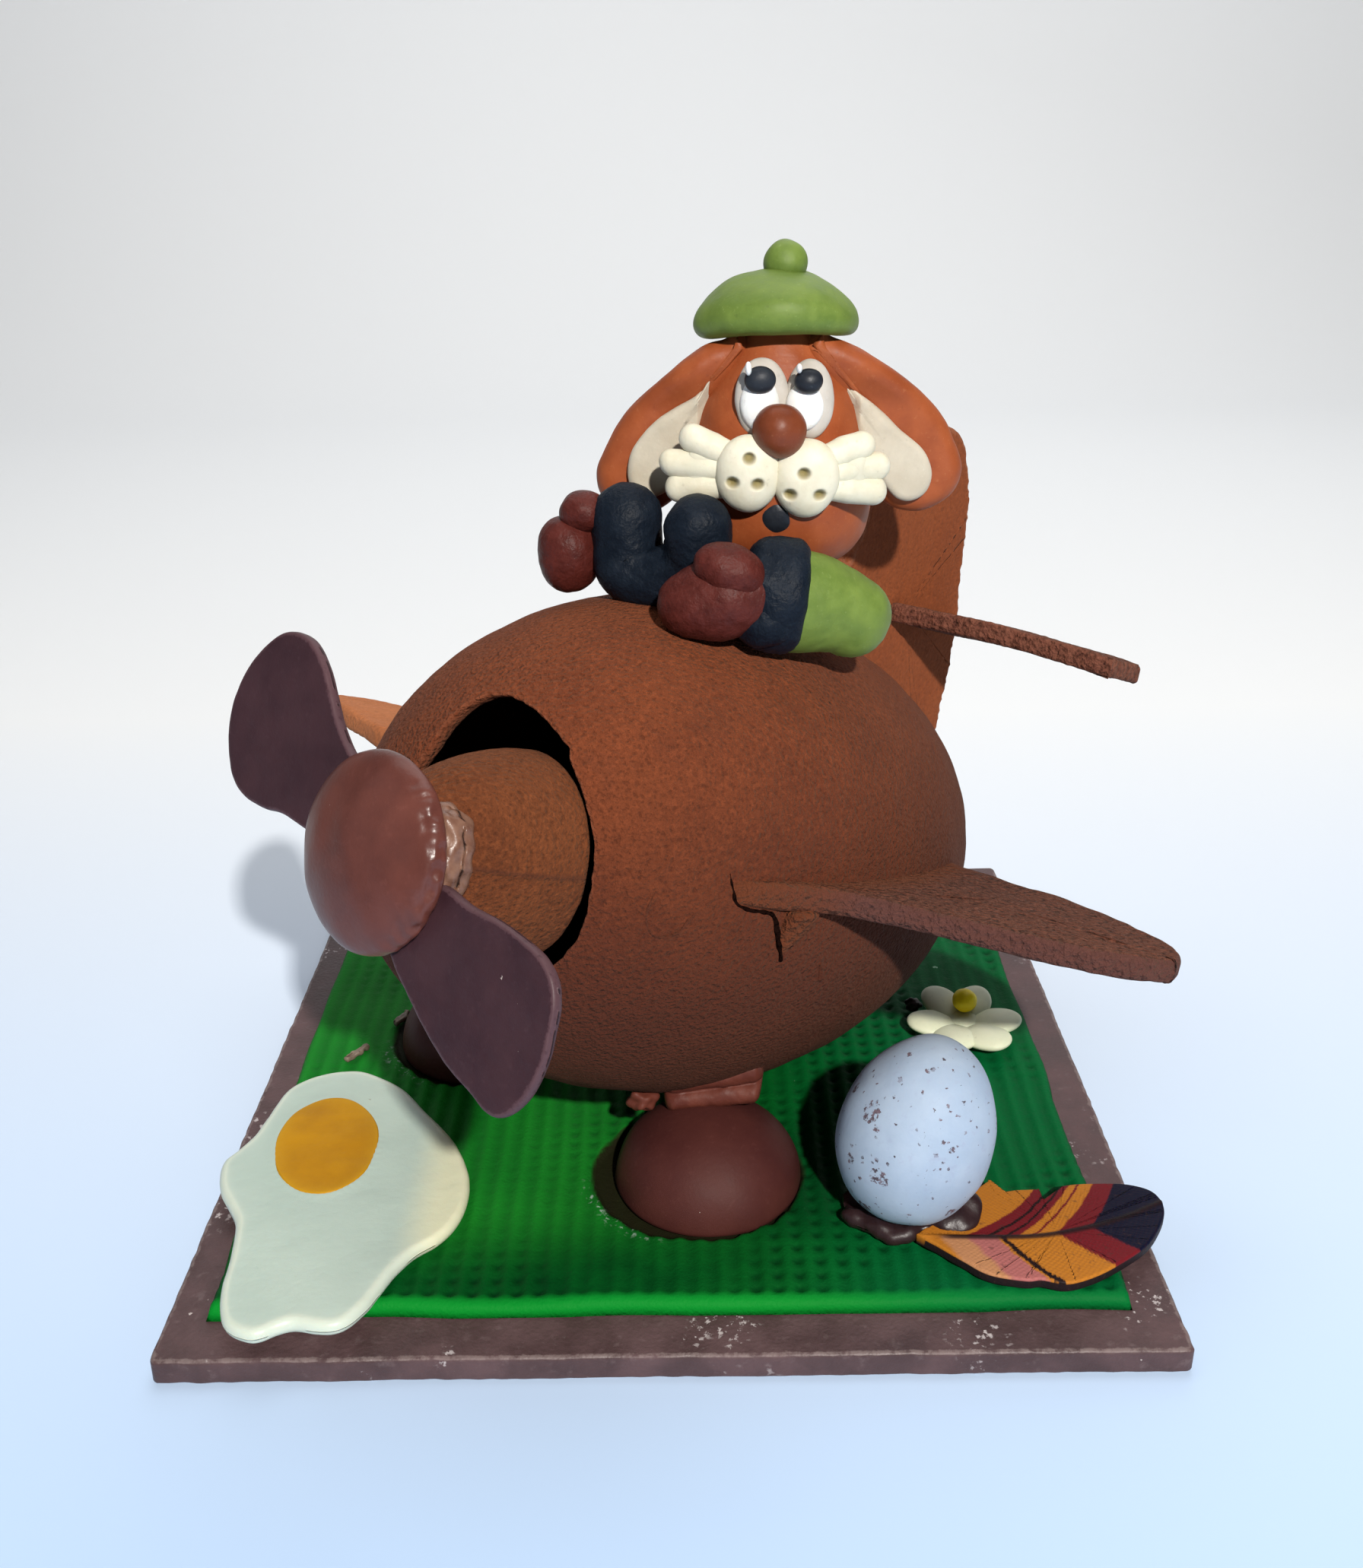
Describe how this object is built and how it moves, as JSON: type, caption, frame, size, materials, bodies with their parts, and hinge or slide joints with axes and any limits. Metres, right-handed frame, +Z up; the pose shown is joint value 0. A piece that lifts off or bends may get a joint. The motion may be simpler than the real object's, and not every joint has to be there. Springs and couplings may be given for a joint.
{
  "type": "chocolate airplane",
  "caption": "Hollow chocolate egg airplane with propeller, wings and tail on half-egg wheels, a marzipan rabbit pilot on top, on a square slab with sugar decorations",
  "frame": {"origin": "centre of the underside of the square slab", "axes": "+Z up; the slab's sides lie along X and Y; -Y is the side that the picture is taken from, and the airplane's nose points to -X -Y"},
  "size_m": [0.215, 0.2271, 0.1979],
  "materials": {
    "cocoa": "velvet cocoa-butter spray on dark chocolate, matt and finely grained",
    "dark_choc": "moulded dark chocolate, satin sheen",
    "slab_choc": "poured dark chocolate, dull",
    "grass": "green sugar sheet, slightly wet shine",
    "marz_brown": "orange-brown marzipan",
    "marz_cream": "cream marzipan",
    "marz_white": "white marzipan",
    "marz_grey": "grey marzipan",
    "marz_black": "black marzipan",
    "navy": "navy marzipan",
    "maroon": "dark red-brown marzipan",
    "marz_green": "mid-green marzipan",
    "white_choc": "white chocolate plaque",
    "yolk": "orange-yellow chocolate",
    "sky": "pale blue sugar shell with brown specks",
    "feather": "coloured chocolate feather with chevron bands",
    "petal": "cream sugar petals",
    "yellow": "yellow sugar button"
  },
  "bodies": {
    "root": {"base_slab": "slab_choc", "grass_mat": "grass", "fuselage": "cocoa", "nose_cone": "cocoa", "spinner": "dark_choc", "blade_upper": "dark_choc", "blade_lower": "dark_choc", "spinner_glue": "dark_choc", "wing_near": "cocoa", "wing_far": "cocoa", "wing_glue": "cocoa", "tail_fin": "cocoa", "stabiliser_near": "cocoa", "stabiliser_far": "cocoa", "wheel_near": "dark_choc", "wheel_far": "dark_choc", "strut_near": "dark_choc", "strut_far": "dark_choc", "strut_nugget": "dark_choc", "head": "marz_brown", "muzzle_ball": "marz_brown", "muzzle_left": "marz_cream", "muzzle_right": "marz_cream", "mouth": "marz_black", "eye_rim_left": "marz_grey", "eye_rim_right": "marz_grey", "eye_white_left": "marz_white", "eye_white_right": "marz_white", "pupil_left": "marz_black", "pupil_right": "marz_black", "eye_spark_left": "marz_white", "eye_spark_right": "marz_white", "whiskers_left": "marz_cream", "whiskers_right": "marz_cream", "beret": "marz_green", "pompom": "marz_green", "ear_left": "marz_brown", "ear_right": "marz_brown", "ear_lining_left": "marz_cream", "ear_lining_right": "marz_cream", "mitten_right": "maroon", "mitten_left": "maroon", "cuff_right": "navy", "cuff_left": "navy", "sleeve_right": "marz_green", "body": "marz_green", "plaque": "white_choc", "yolk": "yolk", "speckled_egg": "sky", "egg_glue": "dark_choc", "button": "dark_choc", "feather": "feather", "daisy_petals": "petal", "daisy_centre": "yellow", "daisy_glue": "dark_choc", "shaving_a": "slab_choc", "shaving_b": "slab_choc"}
  },
  "joints": []
}
